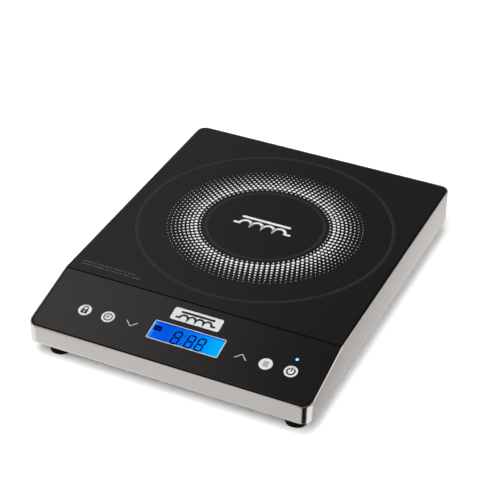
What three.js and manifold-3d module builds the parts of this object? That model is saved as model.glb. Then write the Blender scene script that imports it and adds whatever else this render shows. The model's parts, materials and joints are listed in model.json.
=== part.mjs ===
// Countertop induction cooktop: a steel skirt around a level hob glass and a sloped control panel,
// on a screwed base cover with four feet, with its coil, fan and electronics inside.
// Millimetres, +Z up. The floor is z = 0, -Y is the front and X runs across the hob.

import * as THREE from 'three';
import { mergeVertices } from 'three/addons/utils/BufferGeometryUtils.js';
import Module from 'manifold-3d';

const wasm = await Module();
wasm.setup();

// ---- Driving dimensions: the outside ----
const BODY_WIDTH = 298;
const BODY_DEPTH = 382;
const SKIRT_BOTTOM = 20;
const TOP_HEIGHT = 58;
const FRONT_HEIGHT = 39.7;
const SLOPE_RUN = 77.8;
const CORNER_RADIUS = 11;
const CORNER_STEPS = 5;
const GAP = 0.3;

// ---- Shells. A "drop" is a distance below the glass's top surface, square to it ----
const STEEL = 1.2;
const RIM_DROP = 0.2;
const LIP_WIDTH = 12;
const TRIM_WIDTH = 1.2;
const TRIM_DROP = 0.9;
const TRIM_DEPTH = 10;
const GLASS_THICKNESS = 4;
const GASKET_THICKNESS = 0.6;
const GASKET_WIDTH = 6.3;
const LEDGE_THICKNESS = 2.5;
const LEDGE_INSET = 14;
const JOINT_WIDTH = 1.8;
const JOINT_DROP = 2.4;
const CROSS_BAR_REACH = 7;
const BASE_INSET = 4;
const BASE_THICKNESS = 2;
const DISH_INSET = 12.5;
const DISH_BOTTOM = 15.5;

// ---- Feet and screws ----
const FOOT_RADIUS = 11;
const FOOT_X = 126.3;
const FOOT_Y = 165.9;
const POST_X = 140.5;
const POST_ROWS = [-165, 0, 165];
const POST_RADIUS = 3.5;
const SCREW_RADIUS = 1.7;
const SCREW_HOLE = 2;

// ---- Control panel, measured down the slope from the crease ----
const KEYS_X = 5.8;
const KEY_ROW = 44;
const KEYS = { lock: -109, timer: -83.5, down: -58.3, up: 58.3, menu: 83.5, power: 109 };
const WINDOW_WIDTH = 75.9;
const WINDOW_HEIGHT = 23.6;
const WINDOW_ROW = 42.6;
const LED_ROW = 28.8;
const LED_RADIUS = 1.75;
const SPRING_HEIGHT = 5.6;
const BOARD_THICKNESS = 1.6;
const CONTROL_BOARD = { width: 262, height: 52, row: 41 };
const BOARD_TABS = { x: 132, width: 16, height: 8, rows: [26, 56] };
const CONTROL_SCREW_X = 127.5;

// ---- Coil stack ----
const HOB_Y = 38.4;
const COIL_RADIUS = 92;
const COIL_HEIGHT = 4;
const CARRIER_RADIUS = 99;
const FERRITE = { count: 6, length: 55, width: 12, height: 3.8, start: 32 };
const CARRIER_POSTS = [[-80, -10], [-12, 131.5], [55, -38]];

// ---- Fan, power board and cord gland ----
const FAN = { x: -92, y: 118, size: 80, height: 15, bore: 37.6, blades: 7 };
const POWER_BOARD = { x: 45, y: 47, width: 166, depth: 150, bottom: 22 };
const GLAND = { x: 100, z: 35, hole: 8.2, bore: 4.6, proud: 6 };
const VENT = { width: 3, height: 15, pitch: 7.5, count: 24, x: -132, z: 27.5 };

// ---- Worked out from the dimensions above ----
const BODY_FRONT = -BODY_DEPTH / 2;
const BODY_BACK = BODY_DEPTH / 2;
const CREASE_Y = BODY_FRONT + SLOPE_RUN;
const SLOPE_ANGLE = Math.atan2(TOP_HEIGHT - FRONT_HEIGHT, SLOPE_RUN);
const FRAME_INSET = STEEL + GAP;
const GLASS_INSET = FRAME_INSET + TRIM_WIDTH + GAP;
const GASKET_DROP = GLASS_THICKNESS + GAP;
const LEDGE_DROP = GASKET_DROP + GASKET_THICKNESS + GAP;
const LIP_TOP = SKIRT_BOTTOM + STEEL;
const BASE_TOP = SKIRT_BOTTOM - GAP;
const FLOOR_TOP = DISH_BOTTOM + BASE_THICKNESS;
const FOOT_HEIGHT = DISH_BOTTOM - GAP;
const GLASS_BOTTOM = TOP_HEIGHT - GLASS_THICKNESS;
const MICA_BOTTOM = GLASS_BOTTOM - GAP - 0.7;
const COIL_BOTTOM = MICA_BOTTOM - GAP - COIL_HEIGHT;
const CARRIER_TOP = COIL_BOTTOM - GAP;
const CARRIER_PLATE = CARRIER_TOP - 2;
const BOARD_TOP = POWER_BOARD.bottom + BOARD_THICKNESS + GAP;
const CONTROL_BOARD_TOP = -GASKET_DROP - SPRING_HEIGHT - GAP;
const CONTROL_SCREW_ROW = BOARD_TABS.rows[1];

// ---- Materials ----
function finish(color, roughness, metalness) {
  return () => new THREE.MeshStandardMaterial({ color, roughness, metalness });
}

const brushedSteel = finish('#bab5b0', 0.32, 1);
const screwSteel = finish('#9a9a9c', 0.3, 1);
const aluminium = finish('#b4b6b8', 0.4, 1);
const copper = finish('#b4622e', 0.35, 1);
const brass = finish('#b08d46', 0.35, 1);
const blackGlass = finish('#262525', 0.08, 0);
const displayGlass = finish('#0a60f0', 0.1, 0);
const blackTrim = finish('#141414', 0.2, 0);
const blackPlastic = finish('#1b1b1c', 0.6, 0);
const greyPlastic = finish('#6f7274', 0.55, 0);
const whitePlastic = finish('#d8d6cf', 0.5, 0);
const blackRubber = finish('#121212', 0.85, 0);
const redSilicone = finish('#8d3b30', 0.8, 0);
const mica = finish('#c9b48a', 0.6, 0);
const ferrite = finish('#33312f', 0.75, 0);
const greenBoard = finish('#1f5a3a', 0.5, 0);
const blueFilm = finish('#2c4f86', 0.5, 0);
const blueLight = finish('#2f9bff', 0.2, 0);

// ---- Solids from three.js geometries, and booleans on them ----
function toSolid(geometry) {
  geometry.deleteAttribute('normal');
  geometry.deleteAttribute('uv');
  const merged = mergeVertices(geometry, 1e-4);
  const corners = merged.index.array;
  const triangles = [];
  for (let i = 0; i < corners.length; i += 3) {
    const [a, b, c] = corners.slice(i, i + 3);
    if (a !== b && b !== c && c !== a) {
      triangles.push(a, b, c);
    }
  }
  return new wasm.Manifold(new wasm.Mesh({
    numProp: 3,
    vertProperties: new Float32Array(merged.attributes.position.array),
    triVerts: new Uint32Array(triangles),
  }));
}

function toGeometry(solid) {
  const mesh = solid.getMesh();
  const geometry = new THREE.BufferGeometry();
  geometry.setAttribute('position', new THREE.BufferAttribute(new Float32Array(mesh.vertProperties), 3));
  geometry.setIndex(new THREE.BufferAttribute(new Uint32Array(mesh.triVerts), 1));
  const faceted = geometry.toNonIndexed();
  faceted.computeVertexNormals();
  return faceted;
}

function join(...solids) {
  return solids.reduce((whole, solid) => whole.add(solid));
}

function cut(solid, ...tools) {
  return tools.reduce((rest, tool) => rest.subtract(tool), solid);
}

function placed(geometry, at = [0, 0, 0], turn = [0, 0, 0]) {
  geometry.rotateX(turn[0]);
  geometry.rotateY(turn[1]);
  geometry.rotateZ(turn[2]);
  geometry.translate(...at);
  return toSolid(geometry);
}

// A box given by its middle in x and y and by its bottom and top.
function block(width, depth, bottom, top, x = 0, y = 0) {
  return placed(new THREE.BoxGeometry(width, depth, top - bottom), [x, y, (bottom + top) / 2]);
}

// A cylinder on a vertical axis.
function rod(radius, bottom, top, x = 0, y = 0, sides = 16) {
  const geometry = new THREE.CylinderGeometry(radius, radius, top - bottom, sides);
  return placed(geometry, [x, y, (bottom + top) / 2], [Math.PI / 2, 0, 0]);
}

// A solid turned about the vertical axis from [radius, z] points, counter-clockwise.
function turned(profile, sides = 24) {
  const points = profile.map(([radius, z]) => new THREE.Vector2(radius, z));
  return placed(new THREE.LatheGeometry(points, sides), [0, 0, 0], [Math.PI / 2, 0, 0]);
}

function ring(inner, outer, bottom, top, sides = 24) {
  return turned([[inner, bottom], [outer, bottom], [outer, top], [inner, top], [inner, bottom]], sides);
}

function roundedRectangle(width, depth, radius, steps = CORNER_STEPS) {
  const points = [];
  for (let corner = 0; corner < 4; corner += 1) {
    const x = (width / 2 - radius) * (corner % 3 === 0 ? 1 : -1);
    const y = (depth / 2 - radius) * (corner < 2 ? 1 : -1);
    for (let step = 0; step <= steps; step += 1) {
      const angle = (corner + step / steps) * Math.PI / 2;
      points.push(new THREE.Vector2(x + radius * Math.cos(angle), y + radius * Math.sin(angle)));
    }
  }
  return points;
}

function plate(points, bottom, top) {
  const geometry = new THREE.ExtrudeGeometry(new THREE.Shape(points), {
    depth: top - bottom,
    bevelEnabled: false,
  });
  return placed(geometry, [0, 0, bottom]);
}

// A prism along X with its section given by [y, z] points, counter-clockwise.
function beam(section, left, right) {
  const points = section.map(([y, z]) => new THREE.Vector2(y, z));
  const geometry = new THREE.ExtrudeGeometry(new THREE.Shape(points), {
    depth: right - left,
    bevelEnabled: false,
  });
  const alongX = new THREE.Matrix4().makeBasis(
    new THREE.Vector3(0, 1, 0),
    new THREE.Vector3(0, 0, 1),
    new THREE.Vector3(1, 0, 0),
  );
  geometry.applyMatrix4(alongX);
  return placed(geometry, [left, 0, 0]);
}

// ---- Shapes that follow the body ----
function bodyPlate(inset, bottom, top) {
  const radius = Math.max(CORNER_RADIUS - inset, 2);
  const outline = roundedRectangle(BODY_WIDTH - 2 * inset, BODY_DEPTH - 2 * inset, radius);
  return plate(outline, bottom, top);
}

// Everything lower than the top surface by at least the drop.
function underTop(drop) {
  const slope = Math.tan(SLOPE_ANGLE);
  const slopeDrop = drop / Math.cos(SLOPE_ANGLE);
  const creaseY = CREASE_Y + (slopeDrop - drop) / slope;
  const frontY = BODY_FRONT - 10;
  const frontZ = TOP_HEIGHT - drop - (creaseY - frontY) * slope;
  const backY = BODY_BACK + 10;
  const section = [[frontY, 0], [backY, 0], [backY, TOP_HEIGHT - drop], [creaseY, TOP_HEIGHT - drop]];
  return beam([...section, [frontY, frontZ]], -BODY_WIDTH, BODY_WIDTH);
}

// The layer between two drops, inside the body's outline moved in by the inset.
function layer(inset, fromDrop, toDrop) {
  return bodyPlate(inset, 1, TOP_HEIGHT + 1).intersect(underTop(fromDrop)).subtract(underTop(toDrop));
}

function acrossBody(fromY, toY) {
  return block(BODY_WIDTH + 20, toY - fromY, 0, TOP_HEIGHT + 10, 0, (fromY + toY) / 2);
}

function behindCrease(clearance) {
  return acrossBody(CREASE_Y + clearance, BODY_BACK + 10);
}

function beforeCrease(clearance) {
  return acrossBody(BODY_FRONT - 10, CREASE_Y - clearance);
}

// A box or cylinder set on the sloped panel: u runs down the slope and heights are above the surface.
function onSlope(geometry, x, u, middle) {
  geometry.translate(x, -u, middle);
  return placed(geometry, [0, CREASE_Y, TOP_HEIGHT], [SLOPE_ANGLE, 0, 0]);
}

function slopeBlock(width, height, bottom, top, x, u) {
  return onSlope(new THREE.BoxGeometry(width, height, top - bottom), x, u, (bottom + top) / 2);
}

function slopeRod(radius, bottom, top, x, u, sides = 16) {
  const geometry = new THREE.CylinderGeometry(radius, radius, top - bottom, sides);
  geometry.rotateX(Math.PI / 2);
  return onSlope(geometry, x, u, (bottom + top) / 2);
}

// ---- Scene ----
const cooktop = new THREE.Group();
const body = new THREE.Group();
body.position.y = -GLAND.proud / 2;
cooktop.add(body);

const slope = new THREE.Group();
slope.position.set(0, CREASE_Y, TOP_HEIGHT);
slope.rotation.x = SLOPE_ANGLE;
body.add(slope);

const hob = new THREE.Group();
hob.position.y = HOB_Y;
body.add(hob);

const fan = new THREE.Group();
fan.position.set(FAN.x, FAN.y, FLOOR_TOP + GAP);
body.add(fan);

function add(parent, name, solid, material, at = [0, 0, 0], turn = 0) {
  const mesh = new THREE.Mesh(toGeometry(solid), material());
  mesh.name = name;
  mesh.position.set(...at);
  mesh.rotation.z = turn;
  parent.add(mesh);
}

// ---- Housing ----
function basePosts() {
  return POST_ROWS.flatMap((y) => [[-POST_X, y], [POST_X, y]]);
}

function rearVents() {
  const slots = [];
  for (let i = 0; i < VENT.count; i += 1) {
    const x = VENT.x + i * VENT.pitch;
    slots.push(block(VENT.width, 8, VENT.z, VENT.z + VENT.height, x, BODY_BACK));
  }
  return slots;
}

function steelHousing() {
  const shell = bodyPlate(0, SKIRT_BOTTOM, TOP_HEIGHT).intersect(underTop(RIM_DROP));
  const inside = bodyPlate(STEEL, LIP_TOP, TOP_HEIGHT + 1);
  const opening = bodyPlate(LIP_WIDTH, SKIRT_BOTTOM - 1, LIP_TOP + 1);
  const screwHoles = basePosts().map(([x, y]) => rod(SCREW_HOLE, SKIRT_BOTTOM - 1, LIP_TOP + 1, x, y, 10));
  const glandHole = placed(
    new THREE.CylinderGeometry(GLAND.hole, GLAND.hole, 8, 24),
    [GLAND.x, BODY_BACK, GLAND.z],
  );
  return cut(shell, inside, opening, glandHole, ...screwHoles, ...rearVents());
}

function topFrame() {
  const trim = layer(FRAME_INSET, TRIM_DROP, TRIM_DEPTH);
  const trimOpening = bodyPlate(FRAME_INSET + TRIM_WIDTH, 1, TOP_HEIGHT + 1);
  const ledge = layer(FRAME_INSET, LEDGE_DROP, LEDGE_DROP + LEDGE_THICKNESS);
  const ledgeOpening = bodyPlate(LEDGE_INSET, 1, TOP_HEIGHT + 1);
  const crossBar = layer(FRAME_INSET + 1, LEDGE_DROP, LEDGE_DROP + LEDGE_THICKNESS)
    .intersect(acrossBody(CREASE_Y - CROSS_BAR_REACH, CREASE_Y + CROSS_BAR_REACH));
  const jointRib = layer(FRAME_INSET + 1, JOINT_DROP, LEDGE_DROP + 1)
    .intersect(acrossBody(CREASE_Y - JOINT_WIDTH / 2 + GAP, CREASE_Y + JOINT_WIDTH / 2 - GAP));
  const posts = basePosts().map(([x, y]) => {
    const post = rod(POST_RADIUS, LIP_TOP + GAP, TOP_HEIGHT, x, y, 12).intersect(underTop(LEDGE_DROP + 1));
    return post.subtract(rod(SCREW_HOLE, LIP_TOP, LIP_TOP + 9, x, y, 10));
  });
  const { x: tabX, width, height, rows } = BOARD_TABS;
  const tabs = [-1, 1].flatMap((side) => rows.map((row) => {
    return slopeBlock(width, height, CONTROL_BOARD_TOP + GAP, -LEDGE_DROP - 1, side * tabX, row);
  }));
  const tabHoles = [-1, 1].map((side) => {
    const bottom = CONTROL_BOARD_TOP - 1;
    return slopeRod(SCREW_HOLE - 0.4, bottom, bottom + 4, side * CONTROL_SCREW_X, CONTROL_SCREW_ROW, 10);
  });
  const frame = join(cut(trim, trimOpening), cut(ledge, ledgeOpening), crossBar, jointRib, ...posts, ...tabs);
  return cut(frame, ...tabHoles);
}

function hobGlass() {
  return layer(GLASS_INSET, 0, GLASS_THICKNESS).intersect(behindCrease(JOINT_WIDTH / 2));
}

function controlPanel() {
  const sheet = layer(GLASS_INSET, 0, GLASS_THICKNESS).intersect(beforeCrease(JOINT_WIDTH / 2));
  const window = slopeBlock(WINDOW_WIDTH, WINDOW_HEIGHT, -8, 4, KEYS_X, WINDOW_ROW);
  const ledHole = slopeRod(LED_RADIUS + GAP, -8, 4, KEYS_X + KEYS.power, LED_ROW);
  return cut(sheet, window, ledHole);
}

function gasket(region) {
  const strip = layer(GLASS_INSET + GAP, GASKET_DROP, GASKET_DROP + GASKET_THICKNESS)
    .intersect(region(JOINT_WIDTH / 2 + GAP));
  const opening = bodyPlate(GLASS_INSET + GAP + GASKET_WIDTH, 1, TOP_HEIGHT)
    .intersect(region(JOINT_WIDTH / 2 + GAP + 5));
  return cut(strip, opening);
}

add(body, 'steel_housing', steelHousing(), brushedSteel);
add(body, 'top_frame', topFrame(), blackTrim);
add(body, 'hob_glass', hobGlass(), blackGlass);
add(body, 'control_panel', controlPanel(), blackGlass);
add(body, 'glass_gasket', gasket(behindCrease), blackRubber);
add(body, 'panel_gasket', gasket(beforeCrease), blackRubber);

// ---- Controls under the sloped panel ----
function controlBoard() {
  const { width, height } = CONTROL_BOARD;
  const sheet = block(width, height, -BOARD_THICKNESS, 0);
  const screwRow = CONTROL_BOARD.row - CONTROL_SCREW_ROW;
  const holes = [-1, 1].map((side) => rod(SCREW_HOLE, -3, 1, side * CONTROL_SCREW_X, screwRow, 10));
  return cut(sheet, ...holes);
}

function springBody(height) {
  return turned([[0, 0], [3.2, 0], [3.2, height - 1.4], [5.4, height - 0.9], [5.4, height], [0, height]], 12);
}

function ledBody(height) {
  return turned([
    [0, 0],
    [LED_RADIUS, 0],
    [LED_RADIUS, height - 0.7],
    [LED_RADIUS * 0.7, height - 0.2],
    [0, height],
  ], 12);
}

add(slope, 'control_board', controlBoard(), greenBoard, [0, -CONTROL_BOARD.row, CONTROL_BOARD_TOP]);
for (const [key, offset] of Object.entries(KEYS)) {
  const at = [KEYS_X + offset, -KEY_ROW, CONTROL_BOARD_TOP + GAP];
  add(slope, `touch_spring_${key}`, springBody(SPRING_HEIGHT - GAP), screwSteel, at);
}
add(slope, 'power_led', ledBody(-CONTROL_BOARD_TOP - GAP), blueLight,
  [KEYS_X + KEYS.power, -LED_ROW, CONTROL_BOARD_TOP + GAP]);
add(slope, 'display_lens',
  block(WINDOW_WIDTH - 2 * GAP, WINDOW_HEIGHT - 2 * GAP, -GLASS_THICKNESS, 0),
  displayGlass, [KEYS_X, -WINDOW_ROW, 0]);
add(slope, 'lcd_module',
  plate(roundedRectangle(WINDOW_WIDTH + 6, WINDOW_HEIGHT + 9, 2, 2), 0, SPRING_HEIGHT - 2 * GAP),
  greyPlastic, [KEYS_X, -WINDOW_ROW, CONTROL_BOARD_TOP + GAP]);
add(slope, 'buzzer',
  turned([[0, 0], [6, 0], [6, 5.5], [2, 5.5], [2, 4.5], [0, 4.5]], 16),
  blackPlastic, [-35, -28, CONTROL_BOARD_TOP - BOARD_THICKNESS - GAP - 5.5]);
for (const [side, sign] of [['left', -1], ['right', 1]]) {
  const underBoard = CONTROL_BOARD_TOP - BOARD_THICKNESS - GAP;
  const screw = turned([[0, -1.8], [2.6, -1.8], [2.6, 0], [1.25, 0], [1.25, 4.4], [0, 4.4]], 10);
  add(slope, `control_screw_${side}`, screw, screwSteel,
    [sign * CONTROL_SCREW_X, -CONTROL_SCREW_ROW, underBoard]);
}

// ---- Base cover, feet and screws ----
function footPlaces() {
  return [
    ['front_left', -FOOT_X, -FOOT_Y],
    ['front_right', FOOT_X, -FOOT_Y],
    ['rear_left', -FOOT_X, FOOT_Y],
    ['rear_right', FOOT_X, FOOT_Y],
  ];
}

// Straight slots that together fill a circle.
function intakeSlots() {
  const slots = [];
  for (let i = -4; i <= 4; i += 1) {
    const x = i * 7.5;
    const length = 2 * Math.sqrt((FAN.bore - 1.5) ** 2 - x ** 2);
    slots.push(block(3.5, length, DISH_BOTTOM - 1, FLOOR_TOP + 1, FAN.x + x, FAN.y));
  }
  return slots;
}

function baseVents() {
  const slots = [];
  for (let i = 0; i < 10; i += 1) {
    slots.push(block(3.5, 36, DISH_BOTTOM - 1, FLOOR_TOP + 1, 50 + i * 7.5, -110));
  }
  return slots;
}

function baseCover() {
  const flange = bodyPlate(BASE_INSET, BASE_TOP - BASE_THICKNESS, BASE_TOP);
  const dish = bodyPlate(DISH_INSET, DISH_BOTTOM, BASE_TOP - 1);
  const hollow = bodyPlate(DISH_INSET + BASE_THICKNESS, FLOOR_TOP, BASE_TOP + 1);
  const pan = cut(join(flange, dish), hollow);
  const footBosses = footPlaces().map(([, x, y]) => rod(5.5, FLOOR_TOP - 1, FLOOR_TOP + 6, x, y));
  const carrierPosts = CARRIER_POSTS.map(([x, y]) => rod(3.8, FLOOR_TOP - 1, CARRIER_PLATE - GAP, x, y, 12));
  const boardBosses = [-1, 1].flatMap((sideX) => [-1, 1].map((sideY) => {
    const x = POWER_BOARD.x + sideX * (POWER_BOARD.width / 2 - 6);
    const y = POWER_BOARD.y + sideY * (POWER_BOARD.depth / 2 - 6);
    return rod(3.5, FLOOR_TOP - 1, POWER_BOARD.bottom - GAP, x, y, 12);
  }));
  const footHoles = footPlaces().map(([, x, y]) => rod(2.3, DISH_BOTTOM - 1, FLOOR_TOP + 5, x, y, 12));
  const screwHoles = basePosts().map(([x, y]) => rod(SCREW_HOLE, 10, BASE_TOP + 1, x, y, 10));
  return cut(
    join(pan, ...footBosses, ...carrierPosts, ...boardBosses),
    ...footHoles,
    ...screwHoles,
    ...intakeSlots(),
    ...baseVents(),
  );
}

function foot() {
  return turned([
    [5.2, 0],
    [FOOT_RADIUS - 0.8, 0],
    [FOOT_RADIUS, 1],
    [FOOT_RADIUS, FOOT_HEIGHT],
    [2.3, FOOT_HEIGHT],
    [2.3, 6],
    [5.2, 6],
    [5.2, 0],
  ], 16);
}

// A pan-head screw with its head under z = 0.
function screwBody(shank, head, headHeight, length) {
  return turned([
    [0, -headHeight],
    [head * 0.7, -headHeight],
    [head, -headHeight * 0.5],
    [head, 0],
    [shank, 0],
    [shank, length],
    [0, length],
  ], 10);
}

add(body, 'base_cover', baseCover(), blackPlastic);
for (const [corner, x, y] of footPlaces()) {
  add(body, `foot_${corner}`, foot(), blackRubber, [x, y, 0]);
  add(body, `foot_screw_${corner}`, screwBody(2, 4.4, 2.6, 15.5), screwSteel, [x, y, 6 - GAP]);
}
basePosts().forEach(([x, y], i) => {
  const under = BASE_TOP - BASE_THICKNESS - GAP;
  add(body, `base_screw_${i + 1}`, screwBody(SCREW_RADIUS, 3.3, 1.6, 12), screwSteel, [x, y, under]);
});

// ---- Cord gland in the rear wall ----
function cordGland() {
  const inner = -STEEL - GAP;
  const profile = [
    [GLAND.bore, inner - 4],
    [9.6, inner - 4],
    [9.6, inner],
    [GLAND.hole - GAP, inner],
    [GLAND.hole - GAP, GAP],
    [11.5, GAP],
    [11.5, 3],
    [9, GLAND.proud],
    [GLAND.bore, GLAND.proud],
    [GLAND.bore, inner - 4],
  ];
  const points = profile.map(([radius, y]) => new THREE.Vector2(radius, y));
  return placed(new THREE.LatheGeometry(points, 20));
}

add(body, 'cord_gland', cordGland(), blackPlastic, [GLAND.x, BODY_BACK, GLAND.z]);

// ---- Coil stack under the hob glass, about the hob's centre ----
function ferriteTurn(i) {
  return (i * 2 * Math.PI) / FERRITE.count;
}

function radialBlock(width, start, end, bottom, top, turn) {
  const geometry = new THREE.BoxGeometry(end - start, width, top - bottom);
  geometry.translate((start + end) / 2, 0, (bottom + top) / 2);
  return placed(geometry, [0, 0, 0], [0, 0, turn]);
}

function coilCarrier() {
  const disc = turned([
    [7, CARRIER_PLATE],
    [CARRIER_RADIUS, CARRIER_PLATE],
    [CARRIER_RADIUS, CARRIER_TOP],
    [COIL_RADIUS + 2.3, CARRIER_TOP],
    [COIL_RADIUS + 2.3, COIL_BOTTOM + COIL_HEIGHT],
    [COIL_RADIUS + GAP, COIL_BOTTOM + COIL_HEIGHT],
    [COIL_RADIUS + GAP, CARRIER_TOP],
    [7, CARRIER_TOP],
    [7, CARRIER_PLATE],
  ], 40);
  const armBottom = CARRIER_PLATE - 4.5;
  const arms = [];
  const pockets = [];
  for (let i = 0; i < FERRITE.count; i += 1) {
    const turn = ferriteTurn(i);
    const end = FERRITE.start + FERRITE.length;
    const pocketWidth = FERRITE.width + 2 * GAP;
    arms.push(radialBlock(pocketWidth + 3, FERRITE.start - 2, end + 2, armBottom, CARRIER_PLATE + 0.5, turn));
    pockets.push(radialBlock(pocketWidth, FERRITE.start - GAP, end + GAP, armBottom - 1, CARRIER_PLATE, turn));
  }
  return cut(join(disc, ...arms), ...pockets);
}

function thermistorBody() {
  return turned([
    [0, CARRIER_PLATE - 3],
    [6.5, CARRIER_PLATE - 3],
    [6.5, CARRIER_TOP + GAP],
    [9, CARRIER_TOP + GAP],
    [9, GLASS_BOTTOM - GAP],
    [0, GLASS_BOTTOM - GAP],
  ], 20);
}

const COIL_TOP = COIL_BOTTOM + COIL_HEIGHT;
add(hob, 'coil_carrier', coilCarrier(), blackPlastic);
add(hob, 'coil_inner', ring(24, 52, COIL_BOTTOM, COIL_TOP, 32), copper);
add(hob, 'coil_outer', ring(62, COIL_RADIUS, COIL_BOTTOM, COIL_TOP, 40), copper);
add(hob, 'mica_sheet', ring(11, COIL_RADIUS + 4, MICA_BOTTOM, MICA_BOTTOM + 0.7, 40), mica);
add(hob, 'glass_thermistor', thermistorBody(), redSilicone);
for (let i = 0; i < FERRITE.count; i += 1) {
  const { start, length, width, height } = FERRITE;
  const bar = radialBlock(width, start, start + length, 0, height, 0);
  add(hob, `ferrite_bar_${i + 1}`, bar, ferrite, [0, 0, CARRIER_PLATE - GAP - height], ferriteTurn(i));
}

// ---- Cooling fan, standing on the base cover ----
const FAN_HUB = 15.6;
const FAN_SHAFT = 1.5;
const FAN_FLOOR = 2;

function fanFrame() {
  const shell = plate(roundedRectangle(FAN.size, FAN.size, 4, 3), 0, FAN.height);
  const bore = rod(FAN.bore, -1, FAN.height + 1, 0, 0, 36);
  const corner = FAN.size / 2 - 4.5;
  const holes = [[-1, -1], [1, -1], [1, 1], [-1, 1]].map(([x, y]) => {
    return rod(2.2, -1, FAN.height + 1, x * corner, y * corner, 10);
  });
  const motorPlate = rod(14, 0, FAN_FLOOR, 0, 0, 24);
  const bearingTube = ring(3, 4.4, FAN_FLOOR - 0.5, 9, 16);
  const struts = [0, 1, 2, 3].map((i) => radialBlock(4, 12, FAN.bore + 1, 0, FAN_FLOOR, (i + 0.5) * Math.PI / 2));
  return join(cut(shell, bore, ...holes), motorPlate, bearingTube, ...struts);
}

// One blade's section across the fan, swept outward from the hub.
function fanBlade(turn) {
  const lower = [[-9, 4.2], [-3, 5.2], [4, 8.2], [9, 12.2]];
  const upper = lower.map(([y, z]) => [y - 0.5, z + 1.3]).reverse();
  const points = [...lower, ...upper].map(([y, z]) => new THREE.Vector2(y, z));
  const geometry = new THREE.ExtrudeGeometry(new THREE.Shape(points), { depth: 20.8, bevelEnabled: false });
  geometry.rotateX(Math.PI / 2);
  geometry.rotateZ(Math.PI / 2);
  geometry.translate(FAN_HUB - 1.2, 0, 0);
  return placed(geometry, [0, 0, 0], [0, 0, turn]);
}

function fanRotor() {
  const hub = turned([
    [0, FAN_FLOOR + 0.6],
    [FAN_SHAFT, FAN_FLOOR + 0.6],
    [FAN_SHAFT, 11.8],
    [FAN_HUB - 1.6, 11.8],
    [FAN_HUB - 1.6, 3.2],
    [FAN_HUB, 3.2],
    [FAN_HUB, 13],
    [FAN_HUB - 1, 14],
    [0, 14],
  ], 28);
  const blades = [];
  for (let i = 0; i < FAN.blades; i += 1) {
    blades.push(fanBlade((i * 2 * Math.PI) / FAN.blades));
  }
  return join(hub, ...blades);
}

add(fan, 'fan_frame', fanFrame(), blackPlastic);
add(fan, 'fan_stator', ring(4.7, 12.8, 3, 10.8, 24), copper);
add(fan, 'fan_bearing', ring(FAN_SHAFT + GAP, 2.7, FAN_FLOOR + GAP, 8.8, 16), brass);
add(fan, 'fan_rotor', fanRotor(), blackPlastic);

// ---- Power board and the parts on it ----
const HEATSINK = { x: 4, y: 84, width: 62, depth: 66, plateTop: 32.4, finTop: 41.2, fins: 11 };

// A finned plate on two side legs, so that the power devices fit under it.
function heatsink() {
  const { width, depth, plateTop, finTop, fins } = HEATSINK;
  const sheet = block(width, depth, plateTop - 3, plateTop);
  const legs = [-1, 1].map((side) => block(3, depth, BOARD_TOP, plateTop - 1, side * (width / 2 - 1.5)));
  const ribs = [];
  for (let i = 0; i < fins; i += 1) {
    const x = (i / (fins - 1) - 0.5) * (width - 1.6);
    ribs.push(block(1.6, depth, plateTop - 1, finTop, x));
  }
  return join(sheet, ...legs, ...ribs);
}

function roundedBlock(width, depth, height, radius) {
  return plate(roundedRectangle(width, depth, radius, 2), 0, height);
}

function choke() {
  return turned([[6, 2], [8, 0], [14, 0], [16, 2], [16, 11], [14, 13], [8, 13], [6, 11], [6, 2]], 16);
}

function fuse() {
  const geometry = new THREE.CylinderGeometry(3, 3, 20, 12);
  const tube = placed(geometry, [0, 0, 4.5]);
  const caps = [-8, 8].map((y) => block(7.4, 4, 0, 8.5, 0, y));
  return join(tube, ...caps);
}

function transformer() {
  return join(block(20, 16, 0, 12), block(13, 24, 2, 10), block(22, 26, 0, 2));
}

function terminalBlock() {
  const base = block(30, 14, 0, 13);
  const entries = [-9, 0, 9].map((x) => block(5.5, 6, 4, 10, x, 6));
  return cut(base, ...entries);
}

const powerBoard = block(POWER_BOARD.width, POWER_BOARD.depth, 0, BOARD_THICKNESS);
add(body, 'power_board', powerBoard, greenBoard, [POWER_BOARD.x, POWER_BOARD.y, POWER_BOARD.bottom]);
add(body, 'heatsink', heatsink(), aluminium, [HEATSINK.x, HEATSINK.y, 0]);
add(body, 'power_transistor', roundedBlock(16, 21, 4.8, 1), blackPlastic, [-8, 84, BOARD_TOP]);
add(body, 'bridge_rectifier', roundedBlock(26, 19, 4.8, 1), blackPlastic, [17, 84, BOARD_TOP]);
add(body, 'resonant_capacitor', roundedBlock(42, 26, 15, 1.5), blueFilm, [72, 62, BOARD_TOP]);
add(body, 'filter_capacitor', roundedBlock(32, 18, 14, 1.5), blueFilm, [72, 30, BOARD_TOP]);
add(body, 'line_choke', choke(), redSilicone, [112, 60, BOARD_TOP]);
add(body, 'line_fuse', fuse(), whitePlastic, [72, 98, BOARD_TOP]);
add(body, 'standby_transformer', transformer(), mica, [20, 5, BOARD_TOP]);
add(body, 'mains_terminal', terminalBlock(), whitePlastic, [105, 106, BOARD_TOP]);

export default cooktop;
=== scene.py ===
"""The looks of the countertop induction cooktop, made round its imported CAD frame.

Metres, +Z up, the control panel towards -Y. Flat printed marks are drawn in millimetres on their own plane.
"""

import json
import math

import bmesh
import bpy
from mathutils import Matrix, Vector

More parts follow.
